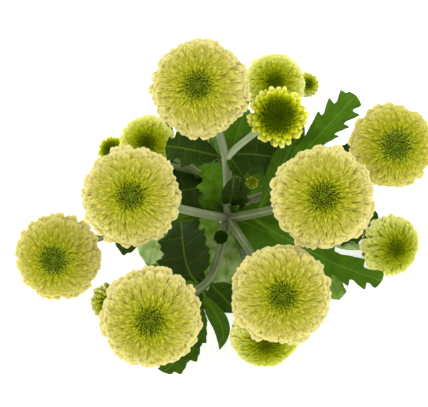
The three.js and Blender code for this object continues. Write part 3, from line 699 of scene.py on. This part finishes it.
def blade(entry, index, grid):
    """One leaf as a closed thin shell, with its petiole."""
    rng = np.random.default_rng(LEAF_SEED + index)
    tip, width = in_crown(*entry.tip), entry.width
    line, share = LINES[entry.on[0]], entry.on[1]
    foot, along = line.at(share), line.way(share)
    ahead = unit(tip - foot)
    side = turned(unit(np.cross(ahead, FACING)), ahead, math.radians(entry.roll))
    face = np.cross(side, ahead)
    length = np.linalg.norm(tip - foot)
    away = unit(unit(ahead - along * np.dot(ahead, along)) + along * RIB_SLANT)
    before = tip - ahead * TIP_REACH * length + face * 1.6 * entry.arch + side * entry.bow
    controls = [foot, foot + away * FOOT_REACH * length, before, tip]

    s = np.linspace(0, 1, grid[0])[:, None]
    u = np.linspace(-1, 1, grid[1])[None]
    out = np.abs(u)
    leafy = smooth(PETIOLE_SHARE - 0.05, PETIOLE_SHARE + 0.07, s)
    nose = np.clip((s - 0.9) / 0.1, 0, 1)
    ends = entry.lobes or EVEN_LOBES
    left, right = teeth(s, ends[-1]), teeth(s, ends[1])
    wave, small = np.where(u < 0, left[1], right[1]), np.where(u < 0, left[2], right[2])
    wave = mix(wave, 1, smooth(0.93, 1, s))
    tooth_gap = np.mean(np.diff(ends[1]))
    depth = NOTCH_DEPTH * s**2 + LEAST_NOTCH + NOTCH_STRAY * rng.uniform(-1, 1)
    fine = min(TOOTH_DEPTH, 2 * tooth_gap**2)
    lobes = 1 - depth * (1 - wave) + fine * (small - 0.5) if entry.lobes else 1 + ENTIRE_TOOTH * (small - 0.5)
    reach = width / 2 * reach_at(s, entry) * lobes * mix(0.08, 1, np.sqrt(1 - nose**2.4))
    reach = mix(PETIOLE_RADIUS, reach, leafy)
    sweep = SWEEP * (1 if entry.lobes else ENTIRE_SWEEP) * mix(0.35, 1, wave) * out**1.4 * leafy * (1 - nose)
    t = np.clip(s + sweep, 0, 1)
    rib = bezier(controls, t)
    lateral = u * reach
    quilt = np.sin(math.pi * out) * (1 - wave) * 0.9
    waves = rng.uniform(0, 2 * math.pi)
    flutter = FLUTTER * width * out**2 * np.sin(2 * math.pi * (3.3 * s + 0.25 * np.sign(u)) + waves)
    lift = leafy * (BLADE_LIFT * np.abs(lateral) + QUILTING * quilt + flutter)
    rib_sink = RIB_SINK * np.exp(-((lateral / RIB_WIDTH) ** 2)) * leafy
    middle = rib + side * lateral[..., None] + face * (lift - rib_sink)[..., None]
    thin = mix(PETIOLE_HALF_THICKNESS * np.sqrt(np.clip(1 - u**2, 0, 1)), BLADE_HALF_THICKNESS, leafy)
    thick_rib = RIB_THICKNESS * np.exp(-((lateral / RIB_SPREAD) ** 2)) * (1 - 0.75 * s)
    half = (thin + leafy * thick_rib) * np.sqrt(np.clip(1 - u**8, 0, 1))
    half[[0, -1]] = 0
    half[:, [0, -1]] = 0
    vein_gap = tooth_gap * length
    values = {
        "left_vein": left[0] * vein_gap,
        "right_vein": right[0] * vein_gap,
        "vein_gap": vein_gap,
        "edge": out,
        # A leaf's tint is its painted light and shade.
        "tint": entry.light,
        "grain_u": lateral,
        "grain_v": t * length,
    }
    return shells(middle[None], half[None], values)


def leaf(entry, index):
    add_piece(entry.name + "_blade", [blade(entry, index, LEAF_GRID)], "leaf", entry.name)


def bracts():
    parts = [blade(entry, len(LEAVES) + index, BRACT_GRID) for index, entry in enumerate(BRACTS)]
    add_piece("stalk_bracts", parts, "leaf")


# ---- the stem with its stalks and cups
STEM_SIDES, STEM_RINGS, STEM_RIBS, STEM_RIB_DEPTH = 24, 90, 6, 0.045
STALK_SIDES, STALK_RING_GAP, STALK_RIBS, STALK_RIB_DEPTH = 18, 2.2, 5, 0.05
LEAF_NODE_SWELL, LEAF_NODE_LENGTH = 0.1, 0.012  # of the stem's radius and length, where a leaf stands
STALK_SPREAD = 0.25  # how much thicker a stalk starts
CUP_SHARE = 0.34  # a cup's rim, of the bloom's radius
CUP_BACK = (1.3, 0.75, 0.35, 0.0)  # a cup's rings before its rim, of the rim's radius
CUP_RINGS, LEAST_RINGS = 9, 12  # round the cup, and along the rest of even a short stalk


def scales(entry):
    """The green scales round a bloom's cup."""
    axis, base, radius = stance(entry)
    count = SCALE_COUNT[entry.stage]
    rng = np.random.default_rng(SCALE_SEED + round(100 * radius))
    points, faces, found = petal_shells(np.arange(count), count, SCALES, SCALE_TAPER, radius, 0, rng, "scale")
    values = {
        "run": 0.3,
        "cup": 1 - 0.45 * found["edge"] ** 2,
        "cut": 0,
        "pale": 0.15 * found["along"],
        "ridge": found["tint"] * 2 - 1,
    }
    return points @ frame_of(axis).T + base, faces, values


def main_stem():
    shares = np.concatenate([[0, 0.004], np.linspace(0.012, 1, STEM_RINGS)])
    radii = mix(STEM_RADIUS, FORK_RADIUS, shares)
    for name, share in (each.on for each in LEAVES):
        if name == "stem":
            radii = radii * (1 + LEAF_NODE_SWELL * np.exp(-(((shares - share) / LEAF_NODE_LENGTH) ** 2)))
    radii[-1] *= 0.7
    values = {"run": shares, "cup": 0.0, "cut": (shares < 0.002).astype(float), "pale": 0.0}
    return rod(LINES["stem"], shares, radii, STEM_SIDES, values, STEM_RIBS, STEM_RIB_DEPTH, slant=CUT_SLANT)


def stalk(entry):
    """One bloom's stalk, which opens into its cup."""
    line, thin = LINES[entry.name], STALK_RADIUS[entry.stage]
    rim = CUP_SHARE * stance(entry)[2]
    back = np.array(CUP_BACK) * rim
    cup_radii = np.array([thin, max(thin, 0.42 * rim), 0.86 * rim, rim])
    even = np.linspace(0, 1 - back[0] / line.length, max(LEAST_RINGS, int(line.length / STALK_RING_GAP)))
    close = 1 - np.linspace(CUP_BACK[0], 0, CUP_RINGS) * rim / line.length
    shares = np.unique(np.concatenate([even, close]))
    to_end = (1 - shares) * line.length
    cup_at = np.interp(to_end, back[::-1], cup_radii[::-1])
    plain = thin * (1 + STALK_SPREAD * (1 - shares) ** 2)
    radii = np.where(to_end < back[0], np.maximum(cup_at, thin), plain)
    node = entry.on[1]
    values = {
        "run": node * 0.5 + 0.5 * shares,
        "cup": smooth(1.2, 0.7, to_end / rim),
        "cut": 0.0,
        "pale": PALE.get(entry.name, 0.0),
    }
    return rod(line, shares, radii, STALK_SIDES, values, STALK_RIBS, STALK_RIB_DEPTH, turn=0.7 * node)


def stem_parts():
    parts = main_stem()
    for entry in BLOOMS:
        parts += stalk(entry)
        if SCALE_COUNT[entry.stage]:
            parts.append(scales(entry))
    return parts


# ---- materials
def srgb(r, g, b):
    """A linear colour from one in 0 to 255."""
    return tuple(((x / 255 + 0.055) / 1.055) ** 2.4 if x > 10 else x / 255 / 12.92 for x in (r, g, b)) + (1.0,)


class Nodes:
    """A material's node tree, built by short calls."""

    def __init__(self, name):
        self.material = bpy.data.materials.new(name)
        self.material.use_nodes = True
        self.tree = self.material.node_tree
        self.tree.nodes.clear()
        output = self.node("OutputMaterial")
        self.shader = self.node("BsdfPrincipled")
        self.put(output.inputs[0], self.shader.outputs[0])

    def put(self, socket, value):
        if isinstance(value, bpy.types.NodeSocket):
            self.tree.links.new(value, socket)
        else:
            socket.default_value = value

    def node(self, kind, *inputs, **settings):
        """A new node with its settings, and values or links to its first inputs."""
        node = self.tree.nodes.new("ShaderNode" + kind)
        for key, value in settings.items():
            setattr(node, key, value)
        for socket, value in zip(node.inputs, inputs):
            self.put(socket, value)
        return node

    def attribute(self, name):
        return self.node("Attribute", attribute_name=name).outputs["Fac"]

    def math(self, operation, a, b=0.0, clamp=False):
        return self.node("Math", a, b, operation=operation, use_clamp=clamp).outputs[0]

    def times(self, a, b, clamp=False):
        return self.math("MULTIPLY", a, b, clamp)

    def plus(self, a, b):
        return self.math("ADD", a, b)

    def minus(self, a, b, clamp=False):
        return self.math("SUBTRACT", a, b, clamp)

    def combine(self, x, y, z):
        return self.node("CombineXYZ", x, y, z).outputs[0]

    def place(self):
        return self.node("TexCoord").outputs["Object"]

    def noise(self, vector, scale, detail, roughness=0.5):
        node = self.node("TexNoise", vector)
        for key, value in (("Scale", scale), ("Detail", detail), ("Roughness", roughness)):
            node.inputs[key].default_value = value
        return node.outputs["Fac"]

    def ramp(self, value, stops):
        """Each stop is a place and a grey, a colour in 0 to 255, or a linear colour with its alpha."""
        node = self.node("ValToRGB", value)
        elements = node.color_ramp.elements
        while len(elements) < len(stops):
            elements.new(1.0)
        for element, (place, *colour) in zip(elements, stops):
            element.position = place
            if len(colour) == 1:
                colour = (*colour * 3, 1.0)
            element.color = srgb(*colour) if len(colour) == 3 else colour
        return node.outputs[0]

    def blend(self, share, a, b, kind="MIX"):
        node = self.node("Mix", share, data_type="RGBA", blend_type=kind)
        self.put(node.inputs[6], a)
        self.put(node.inputs[7], b)
        return node.outputs[2]

    def bump(self, height, distance, strength):
        node = self.node("Bump")
        for key, value in (("Height", height), ("Distance", distance), ("Strength", strength)):
            self.put(node.inputs[key], value)
        self.put(self.shader.inputs["Normal"], node.outputs[0])

    def finish(self, colour, roughness, **sockets):
        self.put(self.shader.inputs["Base Color"], colour)
        self.put(self.shader.inputs["Roughness"], roughness)
        for name, value in sockets.items():
            self.shader.inputs[name.replace("_", " ").title().replace("Ior", "IOR")].default_value = value
        return self.material


# Colours of petals go by tone, from the middle of a head to its rim. Blotches and each petal's own tint shift it.
BLOTCH_SCALE, BLOTCH_SHIFT, TINT_SHIFT = 260.0, 0.16, 0.08
STREAKS_ACROSS, STREAKS_ALONG, STREAK_SHADE = 1.5, 0.15, (0.84, 0.84, 0.74, 1)
WHITE = (1.0, 1.0, 1.0, 1)


def petal_material(name, colours, edge_highlight_colours, edge_highlight_share, root_green_and_shade, throat_shade_colour):
    n = Nodes(name)
    tone, along, edge, tint = (n.attribute(key) for key in ("tone", "along", "edge", "tint"))
    across_grain = n.times(n.attribute("grain_u"), STREAKS_ACROSS)
    grain = n.combine(across_grain, n.times(n.attribute("grain_v"), STREAKS_ALONG), tint)
    streaks = n.noise(grain, 1.0, 3.0, 0.6)
    blotches = n.noise(n.place(), BLOTCH_SCALE, 3.0)
    moved = n.plus(tone, n.times(n.minus(blotches, 0.5), BLOTCH_SHIFT))
    moved = n.plus(moved, n.times(n.minus(tint, 0.5), TINT_SHIFT))
    colour = n.ramp(moved, colours)
    # Petals are greener towards their roots: partly their own green base, partly painted shade where the petals cover
    # each other.
    root = n.ramp(along, [(0.0, 1.0), (0.55, 0.9), (0.78, 0.45), (0.96, 0.0)])
    colour = n.blend(n.times(root, 0.6), colour, srgb(*root_green_and_shade))
    # The middle petals' faces darken to the throat colour: painted shade in the hollows of the tubes.
    throat_shade = n.times(n.attribute("face"), n.ramp(tone, [(0.14, 0.85), (0.32, 0.0)]))
    colour = n.blend(throat_shade, colour, srgb(*throat_shade_colour))
    # Edges and tips of petals are paler: partly their own paler colour, partly painted highlight.
    rim = n.times(n.math("POWER", edge, 4.0), n.ramp(along, [(0.2, 0.0), (0.7, 1.0)]))
    tips = n.ramp(along, [(0.8, 0.0), (0.94, 0.9)])
    light = n.times(n.math("MAXIMUM", rim, tips), n.ramp(tone, edge_highlight_share))
    colour = n.blend(light, colour, n.ramp(tone, edge_highlight_colours))
    shade = n.ramp(streaks, [(0.3, *STREAK_SHADE), (0.7, *WHITE)])
    colour = n.blend(0.8, colour, shade, "MULTIPLY")
    n.bump(n.plus(streaks, n.times(blotches, 0.3)), 0.0004, 0.6)
    n.shader.inputs["Subsurface Radius"].default_value = (1.0, 0.9, 0.5)
    return n.finish(colour, 0.7, subsurface_weight=0.75, subsurface_scale=0.0004, specular_ior_level=0.02)


# Painted light and shade: from a leaf dark in shade to a brightly lit one.
LEAF_SHADE_TO_LIGHT = [
    (0.0, 26, 40, 6), (0.3, 42, 66, 4), (0.6, 62, 100, 2), (0.75, 80, 122, 10), (0.88, 124, 158, 64),
    (1.0, 182, 202, 134),
]
RIB_HALF_WIDTH, VEIN_HALF_WIDTH, VEIN_THINNING = 0.75, 0.42, 0.3  # in mm, and how much thinner a vein ends


def leaf_material():
    n = Nodes("leaf_green")
    edge, tint, face, gap = (n.attribute(key) for key in ("edge", "tint", "face", "vein_gap"))
    across, along = n.attribute("grain_u"), n.attribute("grain_v")
    flat = n.combine(across, along, tint)
    cells = n.noise(flat, 1.6, 4.0, 0.6)
    broad = n.noise(flat, 0.16, 2.0)

    rightward = n.math("GREATER_THAN", across, 0.0)
    to_right = n.times(n.attribute("right_vein"), rightward)
    to_left = n.times(n.attribute("left_vein"), n.minus(1.0, rightward))
    run = n.plus(n.plus(to_right, to_left), n.times(n.minus(cells, 0.5), 1.2))
    # Eight gaps keep it above 0, and half a gap is as far as it lies from a vein.
    ahead = n.plus(run, n.times(gap, 8.0))
    from_side = n.math("ABSOLUTE", n.math("PINGPONG", ahead, n.times(gap, 0.5)))
    side_width = n.minus(VEIN_HALF_WIDTH, n.times(edge, VEIN_THINNING))
    side = n.minus(1.0, n.math("DIVIDE", from_side, side_width), True)
    middle = n.minus(1.0, n.math("DIVIDE", n.math("ABSOLUTE", across), RIB_HALF_WIDTH), True)
    vein = n.math("MAXIMUM", n.times(side, 0.45), middle)

    # The upper face's green goes by the leaf's painted light and shade.
    upper = n.ramp(n.plus(n.times(n.minus(broad, 0.5), 0.5), tint), LEAF_SHADE_TO_LIGHT)
    upper = n.blend(n.times(n.minus(cells, 0.35), 0.6, True), upper, srgb(86, 126, 12))
    upper = n.blend(n.times(vein, 0.5), upper, srgb(110, 140, 40))
    under = n.blend(cells, srgb(96, 122, 60), srgb(122, 144, 84))
    under = n.blend(n.times(vein, 0.6), under, srgb(150, 168, 112))
    colour = n.blend(face, under, upper)
    n.bump(n.plus(n.times(cells, 0.6), n.times(vein, -0.8)), 0.0003, 0.7)
    return n.finish(colour, n.ramp(cells, [(0.3, 0.42), (0.7, 0.6)]), specular_ior_level=0.08)


STEM_GREENS = [(0.25, 72, 92, 42), (0.5, 98, 114, 68), (0.8, 140, 148, 112)]
# Brown by run, which goes from 0 to 1 along the stem, and from half its node's share by a half along a stalk.
WOODY = [(0.44, 0.0), (0.5, 0.9), (0.58, 0.1), (0.9, 0.0), (1.0, 0.9)]


def stem_material():
    n = Nodes("stem_green")
    run, ridge, cup, cut, pale = (n.attribute(key) for key in ("run", "ridge", "cup", "cut", "pale"))
    place = n.place()
    fine = n.noise(place, 900.0, 4.0, 0.6)
    broad = n.noise(place, 60.0, 2.0)
    # Lighter along the ribs of the stem and stalks and darker between them: painted highlight and shade; on the scales
    # it varies at random.
    colour = n.ramp(n.plus(n.times(ridge, 0.22), broad), STEM_GREENS)
    colour = n.blend(n.times(n.ramp(run, WOODY), broad), colour, srgb(140, 112, 92))
    colour = n.blend(n.times(pale, 0.8), colour, srgb(190, 204, 164))
    colour = n.blend(n.times(fine, 0.25), colour, srgb(168, 176, 136))
    colour = n.blend(n.times(cup, 0.85), colour, srgb(74, 104, 26))
    colour = n.blend(cut, colour, srgb(196, 200, 150))
    n.bump(n.plus(fine, n.times(ridge, 0.4)), 0.0003, 0.6)
    return n.finish(colour, 0.6, specular_ior_level=0.2)


# Each slot's colours; those of its petals' edges, partly painted highlight, and how much the edges show; the root's
# colour, partly painted shade; and the throat's colour, painted shade.
PETAL_LOOKS = {
    "petal_cream": (
        [
            (0.0, 36, 70, 6), (0.15, 58, 90, 2), (0.27, 142, 150, 0), (0.45, 172, 170, 20), (0.66, 190, 180, 62),
            (0.84, 197, 181, 88), (1.0, 209, 192, 112),
        ],
        [
            (0.0, 160, 190, 46), (0.2, 190, 208, 44), (0.36, 206, 208, 44), (0.6, 226, 220, 104),
            (0.85, 238, 230, 144), (1.0, 233, 221, 156),
        ],
        [(0.0, 1.0), (0.42, 0.7), (0.7, 0.4), (0.92, 0.75)],
        (136, 142, 4),
        (24, 52, 0),
    ),
    "petal_lime": (
        [
            (0.0, 30, 52, 0), (0.1, 56, 80, 0), (0.26, 98, 116, 0), (0.44, 142, 154, 4), (0.7, 204, 206, 52),
            (0.85, 232, 232, 100), (1.0, 250, 246, 150),
        ],
        [(0.0, 96, 118, 2), (0.3, 170, 184, 14), (0.5, 200, 208, 30), (1.0, 250, 248, 170)],
        [(0.0, 0.8), (0.9, 0.8)],
        (126, 140, 0),
        (38, 60, 0),
    ),
    "petal_young": (
        [
            (0.0, 44, 66, 0), (0.44, 74, 98, 0), (0.56, 160, 172, 0), (0.7, 224, 230, 16), (0.86, 252, 250, 84),
            (1.0, 255, 255, 160),
        ],
        [(0.0, 66, 90, 2), (0.48, 100, 124, 4), (0.72, 214, 220, 50), (1.0, 250, 250, 150)],
        [(0.0, 0.5), (0.9, 0.8)],
        (104, 122, 0),
        (34, 54, 0),
    ),
    "bud_green": (
        [(0.0, 14, 34, 0), (0.6, 20, 44, 0), (0.9, 36, 62, 1), (1.0, 110, 130, 34)],
        [(0.0, 36, 60, 4), (1.0, 60, 90, 10)],
        [(0.0, 0.4), (1.0, 0.6)],
        (20, 40, 1),
        (14, 34, 0),
    ),
}
MATERIALS = {slot: petal_material(slot, *look) for slot, look in PETAL_LOOKS.items()}
MATERIALS |= {"leaf": leaf_material(), "stem": stem_material()}

# ---- the pieces
for number, entry in enumerate(BLOOMS):
    bloom(entry, number)
for number, entry in enumerate(LEAVES):
    leaf(entry, number)
bracts()
add_piece("stem_and_stalks", stem_parts(), "stem", "stem")

# ---- floor, light and camera, in metres
FLOOR_HALF, FLOOR_HEIGHT = 9.0, -0.0002
FLOOR_WHITE = (0.92, 0.92, 0.92, 1)
FLOOR_GLOW = 0.55  # the floor shines a little itself, so that the shadows on it are faint
WORLD_STRENGTH = 0.93
CAMERA_DISTANCE, LENS, SENSOR_WIDTH = 750, 131.4, 36  # in mm
CLIP = (0.01, 50)

floor_mesh = bpy.data.meshes.new("floor")
corners = [(FLOOR_HALF * x, FLOOR_HALF * y, FLOOR_HEIGHT) for x, y in ((-1, -1), (1, -1), (1, 1), (-1, 1))]
floor_mesh.from_pydata(corners, [], [(0, 1, 2, 3)])
floor = add_object("floor", floor_mesh)
white = Nodes("floor_white")
white.shader.inputs["Emission Color"].default_value = WHITE
floor_mesh.materials.append(white.finish(FLOOR_WHITE, 0.9, emission_strength=FLOOR_GLOW))

world = bpy.data.worlds.new("studio")
bpy.context.scene.world = world
world.use_nodes = True
background = world.node_tree.nodes["Background"]
background.inputs["Color"].default_value = WHITE
background.inputs["Strength"].default_value = WORLD_STRENGTH


def softbox(name, place, size, power):
    """A round area light that faces the crown."""
    light = bpy.data.lights.new(name, "AREA")
    light.shape = "DISK"
    light.size = size
    light.energy = power
    lamp = add_object(name, light)
    lamp.location = place
    lamp.rotation_mode = "QUATERNION"
    lamp.rotation_quaternion = (Vector(CROWN_MIDDLE * MM) - Vector(place)).to_track_quat("-Z", "Y")


softbox("key", place=(-0.5, -0.5, 1.4), size=0.9, power=9)
softbox("fill", place=(0.9, -0.3, 1.0), size=0.8, power=3)

camera_data = bpy.data.cameras.new("camera")
camera_data.lens = LENS
camera_data.sensor_width = SENSOR_WIDTH
camera_data.clip_start, camera_data.clip_end = CLIP
camera = add_object("camera", camera_data)
camera.matrix_world = Matrix(np.column_stack([ACROSS, UPHILL, FACING]).tolist()).to_4x4()
camera.location = (CROWN_MIDDLE + FACING * CAMERA_DISTANCE) * MM
bpy.context.scene.camera = camera
bpy.context.scene.view_settings.view_transform = "Standard"
